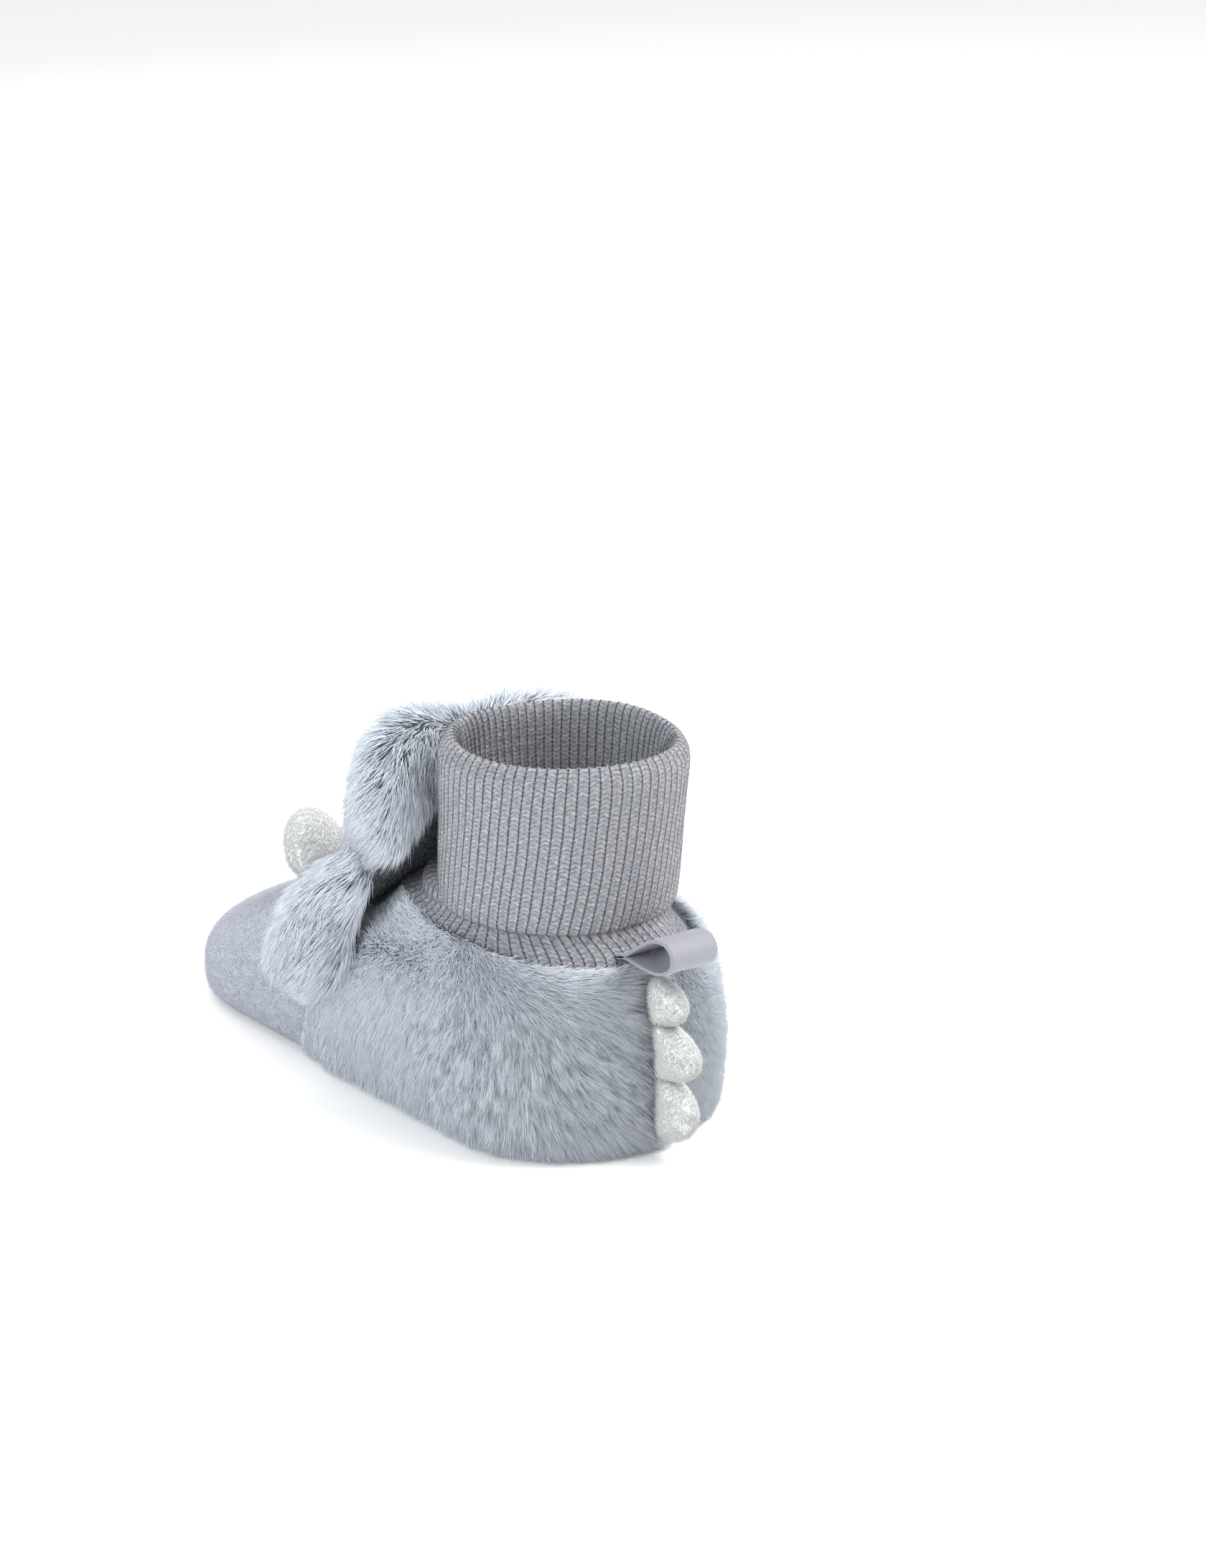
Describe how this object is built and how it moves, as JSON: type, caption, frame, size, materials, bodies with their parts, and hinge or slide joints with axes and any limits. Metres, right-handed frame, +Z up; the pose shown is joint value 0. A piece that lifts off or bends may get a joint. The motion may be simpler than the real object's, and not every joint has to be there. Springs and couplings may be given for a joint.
{
  "type": "baby bootie",
  "caption": "Plush baby bootie with a turned-down rib cuff, padded neck frill, brow horns, scalloped heel spine and a tape pull loop on a soft fabric sole.",
  "frame": {"origin": "on the ground, at the middle of the outsole's underside, on the centre line", "axes": "+Z up, toe towards -Y, heel towards +Y, +X towards the wearer's left"},
  "size_m": [0.0862, 0.1612, 0.081],
  "materials": {
    "fur": "long-pile faux fur, blue-grey",
    "velboa": "short-pile plush, lilac-grey",
    "white_plush": "short-pile plush, white",
    "rib_knit": "cotton rib knit, grey",
    "tape": "woven satin tape, grey",
    "lining": "brushed jersey, off-white",
    "sole_fabric": "suede-like sole fabric, grey",
    "wadding": "polyester wadding, white"
  },
  "bodies": {
    "shoe": {"upper_left": "fur", "upper_right": "fur", "toe_cap": "velboa", "lining": "lining", "outsole": "sole_fabric", "sole_padding": "wadding", "insole": "lining", "rib_cuff": "rib_knit"},
    "frill": {"frill_front": "fur", "frill_back": "fur", "frill_wadding": "wadding"},
    "horn_left": {"brow_horn_left": "white_plush", "brow_horn_filling_left": "wadding"},
    "horn_right": {"brow_horn_right": "white_plush", "brow_horn_filling_right": "wadding"},
    "heel_spine": {"heel_spine_left": "white_plush", "heel_spine_right": "white_plush", "heel_spine_filling": "wadding"},
    "loop": {"pull_loop": "tape"}
  },
  "joints": [
    {"name": "frill_tilt", "type": "hinge", "parent": "shoe", "child": "frill", "pos_m": [0, 0.004, 0.044], "axis": [1, 0, 0], "range_deg": [-2, 8], "stiffness_Nm_per_rad": 0.02},
    {"name": "horn_left_tilt", "type": "hinge", "parent": "shoe", "child": "horn_left", "pos_m": [0.0078, -0.0346, 0.029], "axis": [1, 0, 0], "range_deg": [-10, 10], "stiffness_Nm_per_rad": 0.004},
    {"name": "horn_right_tilt", "type": "hinge", "parent": "shoe", "child": "horn_right", "pos_m": [-0.0078, -0.0346, 0.029], "axis": [1, 0, 0], "range_deg": [-10, 10], "stiffness_Nm_per_rad": 0.004},
    {"name": "heel_spine_flop", "type": "hinge", "parent": "shoe", "child": "heel_spine", "pos_m": [0, 0.0765, 0.02], "axis": [0, 0, 1], "range_deg": [-18, 18], "stiffness_Nm_per_rad": 0.004},
    {"name": "pull_loop_fold", "type": "hinge", "parent": "shoe", "child": "loop", "pos_m": [0, 0.071, 0.042], "axis": [1, 0, 0], "range_deg": [-8, 50], "stiffness_Nm_per_rad": 0.002}
  ]
}
